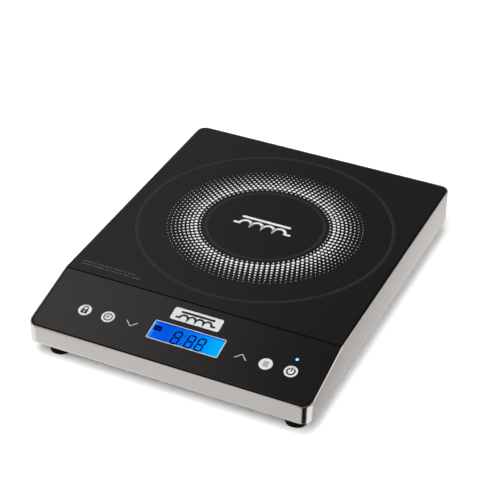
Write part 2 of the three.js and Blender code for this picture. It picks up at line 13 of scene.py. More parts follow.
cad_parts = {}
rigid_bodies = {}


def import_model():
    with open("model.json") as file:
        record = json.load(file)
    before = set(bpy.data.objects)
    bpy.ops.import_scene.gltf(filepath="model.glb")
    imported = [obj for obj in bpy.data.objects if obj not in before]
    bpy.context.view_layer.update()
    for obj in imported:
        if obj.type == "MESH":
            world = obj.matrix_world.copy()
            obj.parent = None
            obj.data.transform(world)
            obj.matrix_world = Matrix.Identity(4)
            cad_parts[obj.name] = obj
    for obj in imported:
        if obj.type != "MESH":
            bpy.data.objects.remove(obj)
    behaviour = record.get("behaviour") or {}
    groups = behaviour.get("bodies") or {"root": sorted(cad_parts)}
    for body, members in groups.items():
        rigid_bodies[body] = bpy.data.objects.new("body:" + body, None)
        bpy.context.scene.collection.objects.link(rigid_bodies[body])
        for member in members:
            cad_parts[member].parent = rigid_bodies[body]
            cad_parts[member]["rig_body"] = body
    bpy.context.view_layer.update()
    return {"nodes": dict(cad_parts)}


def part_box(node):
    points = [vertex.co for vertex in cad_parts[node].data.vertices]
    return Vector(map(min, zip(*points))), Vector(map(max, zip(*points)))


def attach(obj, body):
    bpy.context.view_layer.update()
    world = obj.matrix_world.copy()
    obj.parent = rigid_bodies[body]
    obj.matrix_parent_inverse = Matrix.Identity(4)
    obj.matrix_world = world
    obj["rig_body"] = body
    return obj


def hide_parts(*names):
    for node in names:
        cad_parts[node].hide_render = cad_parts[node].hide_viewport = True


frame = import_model()

MM = 0.001
ROOT = "cooktop"
CORNERS = ("front_left", "front_right", "rear_left", "rear_right")

# ---- Measures taken from the frame ----
STEEL_LOW, STEEL_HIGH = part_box("steel_housing")
WIDTH = STEEL_HIGH.x - STEEL_LOW.x
DEPTH = STEEL_HIGH.y - STEEL_LOW.y
MIDDLE = (STEEL_LOW + STEEL_HIGH) / 2
HOB_LOW, HOB_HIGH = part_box("hob_glass")
TOP = HOB_HIGH.z
PANEL_LOW, PANEL_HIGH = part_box("control_panel")
STEEL_POINTS = [v.co.copy() for v in frame["nodes"]["steel_housing"].data.vertices]
CREASE_Y = min(p.y for p in STEEL_POINTS if p.z > STEEL_HIGH.z - 0.01 * MM)
FRONT_RIM = max(p.z for p in STEEL_POINTS if p.y < STEEL_LOW.y + 0.01 * MM)
SLOPE = (STEEL_HIGH.z - FRONT_RIM) / (CREASE_Y - STEEL_LOW.y)
SLOPE_ANGLE = math.atan(SLOPE)

# ---- Sizes that the frame doesn't name ----
CORNER_RADIUS = 11 * MM
STEEL = 1.2 * MM
LIP_WIDTH = 12 * MM
GAP = 0.3 * MM
RIM_DROP = TOP - STEEL_HIGH.z
TRIM_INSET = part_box("top_frame")[0].x - STEEL_LOW.x
TRIM_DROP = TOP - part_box("top_frame")[1].z
TRIM_DEPTH = 10 * MM
GLASS_INSET = HOB_LOW.x - STEEL_LOW.x
GLASS_THICKNESS = HOB_HIGH.z - HOB_LOW.z
LEDGE_DROP = GLASS_THICKNESS + 1.2 * MM
LEDGE_THICKNESS = 2.5 * MM
LEDGE_INSET = 14 * MM
JOINT_DROP = 2.4 * MM
JOINT_RADIUS = 0.8 * MM
# Edges sharper than this aren't shaded smooth.
SHARP = math.radians(32)
WHITE = (1, 1, 1)


# ---- Shaders ----
class Nodes:
    """Short calls that add nodes to a node tree and join them."""

    def __init__(self, tree):
        self.tree = tree

    def node(self, kind, **values):
        made = self.tree.nodes.new(kind)
        for key, value in values.items():
            setattr(made, key, value)
        return made

    def link(self, output, target):
        self.tree.links.new(output, target)

    def feed(self, value, target):
        """Sets an input to a number, or joins another node's output to it."""
        if isinstance(value, (int, float)):
            target.default_value = value
        else:
            self.link(value, target)

    def parts(self, vector):
        """The three outputs of a vector's parts."""
        made = self.node("ShaderNodeSeparateXYZ")
        self.link(vector, made.inputs["Vector"])
        return made.outputs["X"], made.outputs["Y"], made.outputs["Z"]

    def math(self, operation, first, second=0.0):
        """A sum on two values, each a number or another node's output."""
        made = self.node("ShaderNodeMath", operation=operation)
        for value, target in zip((first, second), made.inputs):
            self.feed(value, target)
        return made.outputs["Value"]

    def spread(self, value, low, high, start=0.3, end=0.7, kind="LINEAR"):
        """Moves a value from the range start..end into the range low..high."""
        made = self.node("ShaderNodeMapRange", interpolation_type=kind)
        for key, number in zip(("From Min", "From Max", "To Min", "To Max"), (start, end, low, high)):
            made.inputs[key].default_value = number
        self.link(value, made.inputs["Value"])
        return made.outputs["Result"]

    def ramp(self, value, stops):
        """A colour from (position, linear colour) stops."""
        made = self.node("ShaderNodeValToRGB")
        elements = made.color_ramp.elements
        while len(elements) < len(stops):
            elements.new(0.5)
        for element, (position, color) in zip(elements, stops):
            element.position = position
            element.color = (*color, 1.0)
        self.link(value, made.inputs["Fac"])
        return made.outputs["Color"]

    def mix(self, factor, first, second, kind="MIX"):
        """Two colours from other nodes, mixed by a factor."""
        made = self.node("ShaderNodeMixRGB", blend_type=kind)
        self.feed(factor, made.inputs["Fac"])
        self.link(first, made.inputs["Color1"])
        self.link(second, made.inputs["Color2"])
        return made.outputs["Color"]


class Look(Nodes):
    """A material with one Principled shader, and calls for what varies over its surface."""

    def __init__(self, name, color, roughness, metallic=0.0):
        self.material = bpy.data.materials.new(name)
        self.material.use_nodes = True
        super().__init__(self.material.node_tree)
        self.shader = self.tree.nodes["Principled BSDF"]
        self.color = color
        self.set(Base_Color=(*color, 1.0), Roughness=roughness, Metallic=metallic)

    def set(self, **values):
        for key, value in values.items():
            self.shader.inputs[key.replace("_", " ")].default_value = value
        return self

    def coordinates(self, stretch=(1, 1, 1), source="Object"):
        """Coordinates in metres, or along a swept sheet for UV, scaled by stretch on each axis."""
        start = self.node("ShaderNodeTexCoord")
        mapping = self.node("ShaderNodeMapping")
        mapping.inputs["Scale"].default_value = stretch
        self.link(start.outputs[source], mapping.inputs["Vector"])
        return mapping.outputs["Vector"]

    def noise(self, scale, detail=2.0, stretch=(1, 1, 1), source="Object"):
        made = self.node("ShaderNodeTexNoise")
        made.inputs["Scale"].default_value = scale
        made.inputs["Detail"].default_value = detail
        self.link(self.coordinates(stretch, source), made.inputs["Vector"])
        return made.outputs["Fac"]

    def vary_color(self, value, dark, light):
        """Runs the base colour from dark to light shades of itself."""
        shades = [[channel * shade for channel in self.color] for shade in (dark, light)]
        self.link(self.ramp(value, list(zip((0.3, 0.7), shades))), self.shader.inputs["Base Color"])

    def vary_roughness(self, value, low, high):
        self.link(self.spread(value, low, high), self.shader.inputs["Roughness"])

    def bump(self, value, height, strength=1.0):
        made = self.node("ShaderNodeBump")
        made.inputs["Strength"].default_value = strength
        made.inputs["Distance"].default_value = height
        self.link(value, made.inputs["Height"])
        self.link(made.outputs["Normal"], self.shader.inputs["Normal"])


def srgb(red, green, blue):
    """Linear colour from 8-bit display values."""
    return [((c / 255 + 0.055) / 1.055) ** 2.4 if c > 10 else c / 255 / 12.92 for c in (red, green, blue)]


def brushed_steel():
    """Fine level brushing along a swept sheet, whose U runs round the body and V runs up it."""
    look = Look("brushed_steel", (0.605, 0.572, 0.54), 0.3, 1.0)
    fine = look.noise(1.0, 3.0, (40, 9000, 1), "UV")
    look.vary_color(fine, 0.98, 1.02)
    look.vary_roughness(look.noise(1.0, 2.0, (25, 2500, 1), "UV"), 0.235, 0.285)
    look.bump(fine, 0.003 * MM, 0.5)
    tangent = look.node("ShaderNodeTangent", direction_type="UV_MAP")
    look.link(tangent.outputs["Tangent"], look.shader.inputs["Tangent"])
    return look.set(Anisotropic=0.9, Anisotropic_Rotation=0.25).material


def gloss_plastic(name, color, roughness=0.25):
    look = Look(name, color, roughness)
    look.vary_roughness(look.noise(60, 3), roughness * 0.8, roughness * 1.3)
    look.bump(look.noise(900, 2), 0.002 * MM, 0.4)
    return look.set(Specular_IOR_Level=0.25).material


def black_glass(name):
    """Polished glass over black, with the faint unevenness that wiping leaves."""
    look = Look(name, (0.0058, 0.0050, 0.0050), 0.07)
    look.vary_roughness(look.noise(14, 4), 0.06, 0.1)
    look.bump(look.noise(120, 1), 0.0015 * MM, 0.25)
    return look.set(IOR=1.5).material


def grained_plastic(name, color, roughness=0.6, grain=1400, depth=0.02):
    """Moulded plastic with a fine spark-eroded grain."""
    look = Look(name, color, roughness)
    grains = look.noise(grain, 3)
    look.vary_color(look.noise(90, 3), 0.9, 1.1)
    look.vary_roughness(grains, roughness * 0.85, min(1.0, roughness * 1.15))
    look.bump(grains, depth * MM, 0.6)
    return look.material


def rubber(name, color, shine=0.2):
    look = Look(name, color, 0.8)
    look.vary_color(look.noise(300, 4), 0.8, 1.2)
    look.vary_roughness(look.noise(800, 2), 0.7, 0.9)
    look.bump(look.noise(2500, 2), 0.015 * MM, 0.5)
    return look.set(Specular_IOR_Level=shine).material


def metal(name, color, roughness, streaks=(1, 1, 1), scale=800):
    """Bare or plated metal, its marks drawn out where streaks is uneven."""
    look = Look(name, color, roughness, 1.0)
    marks = look.noise(scale, 3, streaks)
    look.vary_color(marks, 0.92, 1.08)
    look.vary_roughness(marks, roughness * 0.75, roughness * 1.3)
    look.bump(marks, 0.003 * MM, 0.5)
    return look.material


def printed(name, color, roughness=0.45, shine=0.5):
    """Screen print fired on glass: even, a little matt, faintly mottled."""
    look = Look(name, color, roughness).set(Specular_IOR_Level=shine)
    look.vary_color(look.noise(1500, 2), 0.97, 1.03)
    look.vary_roughness(look.noise(700, 2), roughness * 0.9, roughness * 1.1)
    return look.material


# ---- Meshes ----
def linked(name, data):
    """A new object, linked into the scene."""
    thing = bpy.data.objects.new(name, data)
    bpy.context.scene.collection.objects.link(thing)
    return thing


def face_outward(mesh):
    work = bmesh.new()
    work.from_mesh(mesh)
    bmesh.ops.recalc_face_normals(work, faces=work.faces)
    work.to_mesh(mesh)
    work.free()


def shade(mesh, angle=SHARP):
    """Shades a mesh smooth, but for edges sharper than an angle."""
    mesh.shade_smooth()
    mesh.set_sharp_from_angle(angle=angle)


def add_piece(name, mesh, material, body=ROOT, angle=SHARP):
    """Links a mesh as one piece that rides on a CAD body."""
    face_outward(mesh)
    shade(mesh, angle)
    mesh.materials.clear()
    mesh.materials.append(material)
    piece = linked(name, mesh)
    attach(piece, body)
    return piece


def stand_in(piece, node, slot_name):
    """Hides a CAD node, whose place the piece takes."""
    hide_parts(node)


def new_mesh(name, points, faces):
    mesh = bpy.data.meshes.new(name)
    mesh.from_pydata([tuple(p) for p in points], [], faces)
    return mesh


def finished(name, work):
    """A mesh made of the faces drawn in a bmesh, which is freed."""
    mesh = bpy.data.meshes.new(name)
    work.to_mesh(mesh)
    work.free()
    return mesh


def apply_modifiers(piece):
    graph = bpy.context.evaluated_depsgraph_get()
    made = bpy.data.meshes.new_from_object(piece.evaluated_get(graph))
    piece.modifiers.clear()
    piece.data = made


def boolean(piece, tool, operation="DIFFERENCE"):
    """Cuts a tool out of a piece, or joins it on, and takes the tool away."""
    modifier = piece.modifiers.new(operation, "BOOLEAN")
    modifier.operation = operation
    modifier.solver = "EXACT"
    modifier.object = tool
    apply_modifiers(piece)
    bpy.data.objects.remove(tool)
    shade(piece.data)


def tool_object(name, points, faces):
    """A closed mesh for boolean(), which removes it again."""
    mesh = new_mesh(name, points, faces)
    face_outward(mesh)
    return linked(name, mesh)


def wall(count, turns=None):
    """Faces that join one row of points to the next, right round or for some turns only."""
    return [(i, (i + 1) % count, (i + 1) % count + count, i + count) for i in range(turns or count)]


def prism(outline, to_world, low, high):
    """Points and faces of a prism: an outline of (x, y) pairs taken to the world at two heights."""
    count = len(outline)
    points = [to_world @ Vector((x, y, z)) for z in (low, high) for x, y in outline]
    return points, [tuple(range(count)), tuple(range(count, 2 * count)), *wall(count)]


def gather(parts):
    """Several (points, faces) pairs as one."""
    points, faces = [], []
    for more_points, more_faces in parts:
        start = len(points)
        points += more_points
        faces += [tuple(i + start for i in face) for face in more_faces]
    return points, faces


def corner_arcs(left, right, front, back, back_radius, front_radius, steps):
    """A rectangle with round corners, counter-clockwise from its right side."""
    outline = []
    for corner in range(4):
        radius = back_radius if corner < 2 else front_radius
        x = right - radius if corner in (0, 3) else left + radius
        y = back - radius if corner < 2 else front + radius
        for step in range(steps + 1):
            angle = (corner + step / steps) * math.pi / 2
            outline.append((x + radius * math.cos(angle), y + radius * math.sin(angle)))
    return outline


def rounded(width, depth, radius, middle=(0, 0), steps=6):
    """A rectangle about its middle, with four like corners."""
    x, y = middle
    return corner_arcs(x - width / 2, x + width / 2, y - depth / 2, y + depth / 2, radius, radius, steps)


def ring_points(x, y, radius, sides):
    turns = [2 * math.pi * i / sides for i in range(sides)]
    return [(x + radius * math.cos(t), y + radius * math.sin(t)) for t in turns]


def arc(x, y, radius, start, end, steps=20):
    """Points on an arc, in degrees, 0 towards +x and 90 towards +y."""
    turns = [math.radians(start + (end - start) * i / steps) for i in range(steps + 1)]
    return [(x + radius * math.cos(t), y + radius * math.sin(t)) for t in turns]


def polar(radius, turn, height=0.0):
    """A point round the Z axis, from millimetres."""
    return Vector((radius * math.cos(turn), radius * math.sin(turn), height)) * MM


def middle_of(node):
    low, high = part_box(node)
    return (low + high) / 2


def size_of(node):
    """The width, depth and height of a node's box in millimetres."""
    return [(high - low) / MM for low, high in zip(*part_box(node))]


def standing(node):
    """A place at the middle of the underside of a node's box."""
    middle = middle_of(node)
    return Matrix.Translation((middle.x, middle.y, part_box(node)[0].z))


# ---- Surfaces that follow the body ----
def below_top(drop, blend=0.5 * MM):
    """Height at each y of the surface lying `drop` under the top, square to it, with its crease eased."""

    def height(y):
        level = TOP - drop
        sloped = TOP - (CREASE_Y - y) * SLOPE - drop / math.cos(SLOPE_ANGLE)
        ease = max(blend - abs(level - sloped), 0) / blend if blend else 0
        return min(level, sloped) - ease * ease * blend / 4

    return height


def level(z):
    return lambda y: z


CREASE_STEPS = [offset * MM for offset in (-4, -2.5, -1.5, -0.5, 0.5, 1.5, 2.5, 4)]


def body_outline(inset, steps=12):
    """The body's plan moved in by inset, with extra points where its sides cross the crease."""
    radius = max(CORNER_RADIUS - inset, 1.5 * MM)
    corners = rounded(WIDTH - 2 * inset, DEPTH - 2 * inset, radius, (MIDDLE.x, MIDDLE.y), steps)
    half = 2 * (steps + 1)
    side = WIDTH / 2 - inset
    left = [(MIDDLE.x - side, CREASE_Y + offset) for offset in reversed(CREASE_STEPS)]
    right = [(MIDDLE.x + side, CREASE_Y + offset) for offset in CREASE_STEPS]
    return corners[:half] + left + corners[half:] + right


def half_outline(back, front, back_radius, front_radius):
    """Plan of one sheet of glass between its two y limits."""

    def outline(inset):
        radii = [max(radius - inset, 0.3 * MM) for radius in (back_radius, front_radius)]
        return corner_arcs(HOB_LOW.x + inset, HOB_HIGH.x - inset, front + inset, back - inset, *radii, 10)

    return outline


def running_lengths(points):
    """How far each point lies along a closed row, and at the end the whole length."""
    lengths = [0.0]
    for here, after in zip(points, points[1:] + points[:1]):
        lengths.append(lengths[-1] + (after - here).length)
    return lengths


def swept(name, outline, section, material, closed=True):
    """A section of (inset, height) points carried round an outline. An open one is capped at both ends."""
    rings = [[Vector((x, y, height(y))) for x, y in outline(inset)] for inset, height in section]
    count = len(rings[0])
    lengths = running_lengths(rings[0])
    climbs = running_lengths([ring[0] for ring in rings])
    work = bmesh.new()
    uv = work.loops.layers.uv.new("UVMap")
    verts = [[work.verts.new(point) for point in ring] for ring in rings]
    for i in range(len(rings) if closed else len(rings) - 1):
        after = (i + 1) % len(rings)
        for j in range(count):
            beside = (j + 1) % count
            face = work.faces.new((verts[i][j], verts[i][beside], verts[after][beside], verts[after][j]))
            places = ((j, i), (j + 1, i), (j + 1, i + 1), (j, i + 1))
            for loop, (along, up) in zip(face.loops, places):
                loop[uv].uv = (lengths[along], climbs[up])
    if not closed:
        for cap in (verts[0], verts[-1]):
            for loop in work.faces.new(cap).loops:
                loop[uv].uv = loop.vert.co.xy
    return add_piece(name, finished(name, work), material)


def arc_section(inset, drop, radius, start, end, steps):
    """(inset, height) points on an arc about an inset and a drop, from start to end degrees; 90 is up."""
    return [(x, below_top(-y)) for x, y in arc(inset, -drop, radius, start, end, steps)]


# ---- Housing ----
def housing():
    """The steel skirt: rolled rim, round hem, inward lip, rear vents and the gland's hole."""
    foot = STEEL_LOW.z
    roll = 1.05 * MM
    section = [(0, level(foot + 0.5 * MM)), (0, level(foot + 2 * MM))]
    section += arc_section(roll, RIM_DROP + roll, roll, 180, 90, 6)
    section += [(STEEL, below_top(RIM_DROP + 0.15 * MM)), (STEEL, level(foot + STEEL + 1 * MM))]
    section += [(STEEL + 0.5 * MM, level(foot + STEEL)), (LIP_WIDTH, level(foot + STEEL))]
    section += [(LIP_WIDTH, level(foot)), (0.5 * MM, level(foot)), (0.15 * MM, level(foot + 0.15 * MM))]
    shell = swept("housing_shell", body_outline, section, brushed_steel())
    boolean(shell, vent_tool())
    stand_in(shell, "steel_housing", "steel")


def vent_tool():
    """Round-ended slots and the gland's hole, through the rear wall."""
    count, pitch, first = 24, 7.5 * MM, -132 * MM
    low, high, width = 27.5 * MM, 42.5 * MM, 3 * MM
    bore = 16.4 * MM
    gland = middle_of("cord_gland")
    # From a plan seen on the rear wall, x across and y up, to the world; z runs outward.
    rear_plane = Matrix(((1, 0, 0, 0), (0, 0, 1, STEEL_HIGH.y), (0, 1, 0, 0), (0, 0, 0, 1)))
    outlines = [
        rounded(width, high - low, width / 2 - 0.01 * MM, (first + i * pitch, (low + high) / 2), 5)
        for i in range(count)
    ]
    outlines.append(rounded(bore, bore, bore / 2 - 0.01 * MM, (gland.x, gland.z), 12))
    parts = [prism(outline, rear_plane, -4 * MM, 4 * MM) for outline in outlines]
    return tool_object("vent_tool", *gather(parts))


def trim():
    """The black frame: the band in the groove between rim and glass, the glass's ledge, a bar and posts."""
    inner = GLASS_INSET - GAP
    edge = 0.3 * MM
    bottom = LEDGE_DROP + LEDGE_THICKNESS
    section = arc_section(TRIM_INSET + edge, TRIM_DROP + edge, edge, 180, 90, 4)
    section += arc_section(inner - edge, TRIM_DROP + edge, edge, 90, 0, 4)
    corners = ((inner, LEDGE_DROP), (LEDGE_INSET, LEDGE_DROP), (LEDGE_INSET, bottom), (inner, bottom))
    corners += ((inner, TRIM_DEPTH), (TRIM_INSET, TRIM_DEPTH))
    section += [(inset, below_top(drop)) for inset, drop in corners]
    piece = swept("trim_frame", body_outline, section, gloss_plastic("gloss_trim", (0.004, 0.0038, 0.0038)))
    for tool in (cross_bar(), joint_rib(), *posts()):
        boolean(piece, tool, "UNION")
    stand_in(piece, "top_frame", "trim")


def across(name, section):
    """A bar along X, nearly as long as the body is wide, from (y, z) points."""
    half = WIDTH / 2 - 3 * MM
    to_world = Matrix(((0, 0, 1, 0), (1, 0, 0, 0), (0, 1, 0, 0), (0, 0, 0, 1)))
    return tool_object(name, *prism(section, to_world, -half, half))


def cross_bar():
    """The bar under the joint between the two sheets of glass."""
    reach = 7 * MM
    top, bottom = below_top(LEDGE_DROP, 0), below_top(LEDGE_DROP + LEDGE_THICKNESS, 0)
    ys = (CREASE_Y - reach, CREASE_Y, CREASE_Y + reach)
    return across("cross_bar", [(y, bottom(y)) for y in ys] + [(y, top(y)) for y in reversed(ys)])


def joint_rib():
    """The rib that fills the joint between the two sheets of glass, a little below them."""
    front, back = CREASE_Y - 0.6 * MM, CREASE_Y + 0.6 * MM
    top = below_top(JOINT_DROP, 0)
    foot = TOP - 7 * MM
    section = [(front, foot), (back, foot), (back, top(back)), (CREASE_Y, top(CREASE_Y) + 0.02 * MM)]
    return across("joint_rib", [*section, (front, top(front))])


def posts():
    """The six screw posts that hang from the ledge, one above each base screw."""
    bottom = STEEL_LOW.z + STEEL + GAP
    tools = []
    for i in range(1, 7):
        x, y, _ = middle_of(f"base_screw_{i}")
        reach = below_top(LEDGE_DROP + 1 * MM)(y)
        outline = rounded(7 * MM, 7 * MM, 3.49 * MM, (x, y), 6)
        tools.append(tool_object("post", *prism(outline, Matrix.Identity(4), bottom, reach)))
    return tools


def glass_section(height):
    """One sheet's edge, a little rounded, from the middle of its underside to the middle of its top."""
    edge, low = 0.3 * MM, GLASS_THICKNESS
    drops = [(6 * MM, low), (edge, low), (0, low - edge), (0, edge), (0.09 * MM, 0.09 * MM), (edge, 0)]
    drops += [(2 * edge, 0), (6 * MM, 0)]
    return [(inset, height(drop)) for inset, drop in drops]


def hob_glass():
    outline = half_outline(HOB_HIGH.y, HOB_LOW.y, CORNER_RADIUS - GLASS_INSET, JOINT_RADIUS)
    section = glass_section(lambda drop: level(TOP - drop))
    sheet = swept("hob_sheet", outline, section, black_glass("hob_black_glass"), False)
    stand_in(sheet, "hob_glass", "hob_glass")


def control_glass():
    """The sloped sheet, with its window and the light's hole cut through."""
    outline = half_outline(PANEL_HIGH.y, PANEL_LOW.y, JOINT_RADIUS, CORNER_RADIUS - GLASS_INSET)
    section = glass_section(lambda drop: below_top(drop, 0))
    sheet = swept("control_sheet", outline, section, black_glass("panel_black_glass"), False)
    window = rounded(WINDOW.width * MM, WINDOW.height * MM, 1.2 * MM, (WINDOW.x * MM, WINDOW.v * MM), 5)
    bore = LIGHT.width * MM
    hole = rounded(bore, bore, bore / 2 * 0.999, (LIGHT.x * MM, LIGHT.v * MM), 8)
    cuts = [prism(cut, PANEL_PLANE, -8 * MM, 4 * MM) for cut in (window, hole)]
    boolean(sheet, tool_object("panel_cuts", *gather(cuts)))
    stand_in(sheet, "control_panel", "panel_glass")


# ---- The two print planes, and places on them in millimetres ----
HOB_CENTRE = middle_of("coil_outer")
HOB_PLANE = Matrix.Translation((HOB_CENTRE.x, HOB_CENTRE.y, HOB_HIGH.z))
PANEL_PLANE = Matrix.Translation((0, CREASE_Y, TOP)) @ Matrix.Rotation(SLOPE_ANGLE, 4, "X")


class Place:
    """A CAD node's place on the panel plane in millimetres: x across, v up the slope from the crease."""

    def __init__(self, node, grow=0.0, shift=(0.0, 0.0)):
        points = [PANEL_PLANE.inverted() @ v.co for v in frame["nodes"][node].data.vertices]
        xs, vs, heights = ([part / MM for part in row] for row in zip(*points))
        self.x = (min(xs) + max(xs)) / 2 + shift[0]
        self.v = (min(vs) + max(vs)) / 2 + shift[1]
        self.width = max(xs) - min(xs) + grow
        self.height = max(vs) - min(vs) + grow
        self.low, self.high = min(heights), max(heights)

    def matrix(self, height=0.0):
        """The panel plane moved to this place, and up by a height."""
        return PANEL_PLANE @ Matrix.Translation(Vector((self.x, self.v, height)) * MM)


WINDOW = Place("display_lens", 0.6)
LIGHT = Place("power_led", 0.6)
# The touch marks are printed a little off their springs.
KEY_SHIFT = (0.3, -0.4)
KEYS = {
    key: Place(f"touch_spring_{key}", 0.0, KEY_SHIFT)
    for key in ("lock", "timer", "down", "up", "menu", "power")
}


class Marks:
    """Thin raised print on a plane, from shapes drawn in millimetres, made into one piece."""

    def __init__(self, plane, drop=0.0, thickness=0.04):
        self.plane = plane
        self.low = (0.01 - drop) * MM
        self.high = self.low + thickness * MM
        self.parts = []

    def add(self, flat_points, flat_faces, border):
        """Flat faces given twice, below and above, and walled along the border's edges."""
        count = len(flat_points)
        levels = (self.low, self.high)
        points = [self.plane @ Vector((x * MM, y * MM, z)) for z in levels for x, y in flat_points]
        faces = list(flat_faces) + [tuple(i + count for i in face) for face in flat_faces]
        faces += [(a, b, b + count, a + count) for a, b in border]
        self.parts.append((points, faces))

    def patch(self, outline):
        count = len(outline)
        self.add(outline, [tuple(range(count))], [(i, (i + 1) % count) for i in range(count)])

    def strip(self, left, right, closed=False):
        """A band between two rows of points."""
        count = len(left)
        turns = count if closed else count - 1
        border = [(i + row, (i + 1) % count + row) for row in (0, count) for i in range(turns)]
        if not closed:
            border += [(0, count), (count - 1, 2 * count - 1)]
        self.add(left + right, wall(count, turns), border)

    def stroke(self, path, width, closed=False):
        """A line of even width along a path, mitred at its corners."""
        left, right = [], []
        count = len(path)
        for i, (x, y) in enumerate(path):
            before = path[i - 1] if i or closed else path[i]
            after = path[(i + 1) % count] if i < count - 1 or closed else path[i]
            ends = [Vector((x - before[0], y - before[1])), Vector((after[0] - x, after[1] - y))]
            ways = [end.normalized() for end in ends if end.length > 1e-9]
            along = sum(ways, Vector((0, 0))).normalized()
            side = Vector((-along.y, along.x))
            reach = width / 2 / max(abs(along.dot(ways[0])), 0.3)
            left.append((x + side.x * reach, y + side.y * reach))
            right.append((x - side.x * reach, y - side.y * reach))
        self.strip(left, right, closed)

    def disc(self, x, y, radius, sides=16):
        self.patch(ring_points(x, y, radius, sides))

    def circle(self, x, y, radius, width, sides=96):
        self.stroke(ring_points(x, y, radius, sides), width, True)

    def solid(self, name, material):
        return add_piece(name, new_mesh(name, *gather(self.parts)), material)

    def print(self, name, ink, color, *surface):
        """One piece in an ink, from its 8-bit colour and, where unusual, its roughness and shine."""
        self.solid(name, printed(ink, srgb(*color), *surface))


# ---- Print on the hob ----
def zone_lines():
    """The two double rings that bound the cooking zone."""
    marks = Marks(HOB_PLANE)
    for radii, width, sides in (((131.4, 133.4), 0.75, 240), ((60.4, 62.2), 0.7, 160)):
        for radius in radii:
            marks.circle(0, 0, radius, width, sides)
    marks.print("zone_lines", "grey_print", (55, 54, 54))


def zone_dots():
    """Rings of dots, each with five more than the last. Outside a faint first ring they shrink evenly."""
    marks = Marks(HOB_PLANE)
    rings, first_count, more = 9, 80, 5
    first_radius, spacing = 67.4, 4.19
    largest, smallest = 3.5, 0.7
    for ring in range(rings):
        shrink = (ring - 1) / (rings - 2)
        diameter = largest / 2 if ring == 0 else largest + (smallest - largest) * shrink
        for x, y in ring_points(0, 0, first_radius + spacing * ring, first_count + more * ring):
            marks.disc(x, y, diameter / 2, 12)
    marks.print("zone_dots", "white_print", (250, 250, 249))


def coil_sign(marks, x, y, width, height, weight):
    """A pan standing on a row of coil humps: the general sign for induction."""
    humps, points_each = 4, 12
    hump = width / (humps + 1)
    low = y - height / 2
    path = [(x - width / 2, low)]
    for i in range(humps):
        middle = x + (i - (humps - 1) / 2) * hump
        for step in range(points_each + 1):
            angle = math.pi * (1 - step / points_each)
            path.append((middle + hump * 0.5 * math.cos(angle), low + height * 0.56 * math.sin(angle)))
    path.append((x + width / 2, low))
    marks.stroke([p for i, p in enumerate(path) if i == 0 or math.dist(p, path[i - 1]) > 1e-6], weight)
    marks.patch(rounded(width * 0.86, weight * 1.15, weight * 0.5, (x, y + height / 2), 4))


def hob_sign():
    marks = Marks(HOB_PLANE)
    coil_sign(marks, -1.0, 0, 64, 12.5, 3.1)
    marks.print("hob_sign", "sign_print", (246, 246, 245))


def caution_strokes():
    """Two rows of plain dashes where small print would be."""
    marks = Marks(HOB_PLANE)
    start, gap, height = -138.0, 1.6, 1.5
    rows = ((-135.0, (11, 3.5, 5.5, 7.5, 9, 4, 8.5)), (-139.5, (11.5, 12.5, 5, 6.5, 4, 7.5, 9.5)))
    for y, lengths in rows:
        x = start
        for length in lengths:
            marks.patch(rounded(length, height, 0.3, (x + length / 2, y), 2))
            x += length + gap
    marks.print("caution_strokes", "faint_print", (78, 75, 74))


# ---- Print and lights on the control panel ----
def key_faces():
    marks = Marks(PANEL_PLANE)
    for key in ("lock", "timer", "menu", "power"):
        marks.disc(KEYS[key].x, KEYS[key].v, 6.7, 48)
    marks.print("key_faces", "key_print", (228, 231, 230))


def arrows():
    marks = Marks(PANEL_PLANE)
    for key, way in (("down", -1), ("up", 1)):
        x, v = KEYS[key].x, KEYS[key].v
        marks.stroke([(x - 6, v - way * 3), (x, v + way * 3), (x + 6, v - way * 3)], 0.9)
    marks.print("arrow_marks", "arrow_print", (196, 198, 198))


def key_signs():
    """Padlock, clock, waves and the on-off sign, dark on the key faces."""
    marks = Marks(PANEL_PLANE, -0.04)
    x, v = KEYS["lock"].x, KEYS["lock"].v
    marks.patch(rounded(6.7, 5.1, 0.5, (x, v - 1.6), 3))
    marks.stroke([(x + 2.1, v + 0.9), *arc(x, v + 2.6, 2.1, 0, 180), (x - 2.1, v + 0.9)], 1.25)
    keyhole = Marks(PANEL_PLANE, -0.06)
    keyhole.disc(x, v - 1.1, 0.85)
    keyhole.patch(rounded(0.9, 1.9, 0.2, (x, v - 2.3), 2))
    x, v = KEYS["timer"].x, KEYS["timer"].v
    marks.circle(x, v, 4.1, 1.25, 48)
    marks.stroke([(x, v + 2.5), (x, v - 0.3), (x - 2.2, v - 0.3)], 1.15)
    x, v = KEYS["menu"].x, KEYS["menu"].v
    for row in (2.3, 0, -2.3):
        along = [step * 0.45 for step in range(-6, 7)]
        marks.stroke([(x + a, v + row + 0.28 * math.sin(a * 2.2)) for a in along], 0.9)
    x, v = KEYS["power"].x, KEYS["power"].v
    marks.stroke(arc(x, v, 3.8, 117, 423, 36), 1.45)
    marks.stroke([(x, v + 5), (x, v + 0.3)], 1.4)
    marks.print("key_signs", "sign_ink", (16, 15, 15))
    keyhole.print("key_slot", "key_slot_print", (214, 216, 215))


def nameplate():
    """A bright plate above the window, with the induction sign in place of a name."""
    x, v = WINDOW.x - 0.5, WINDOW.v + 25.1
    plate = Marks(PANEL_PLANE, 0, 0.15)
    plate.patch(rounded(52, 15.4, 2.5, (x, v), 8))
    plate.print("nameplate", "plate_white", (222, 227, 225), 0.35)
    sign = Marks(PANEL_PLANE, -0.15)
    coil_sign(sign, x, v, 42, 7.4, 2.3)
    sign.print("nameplate_sign", "plate_ink", (30, 28, 28))


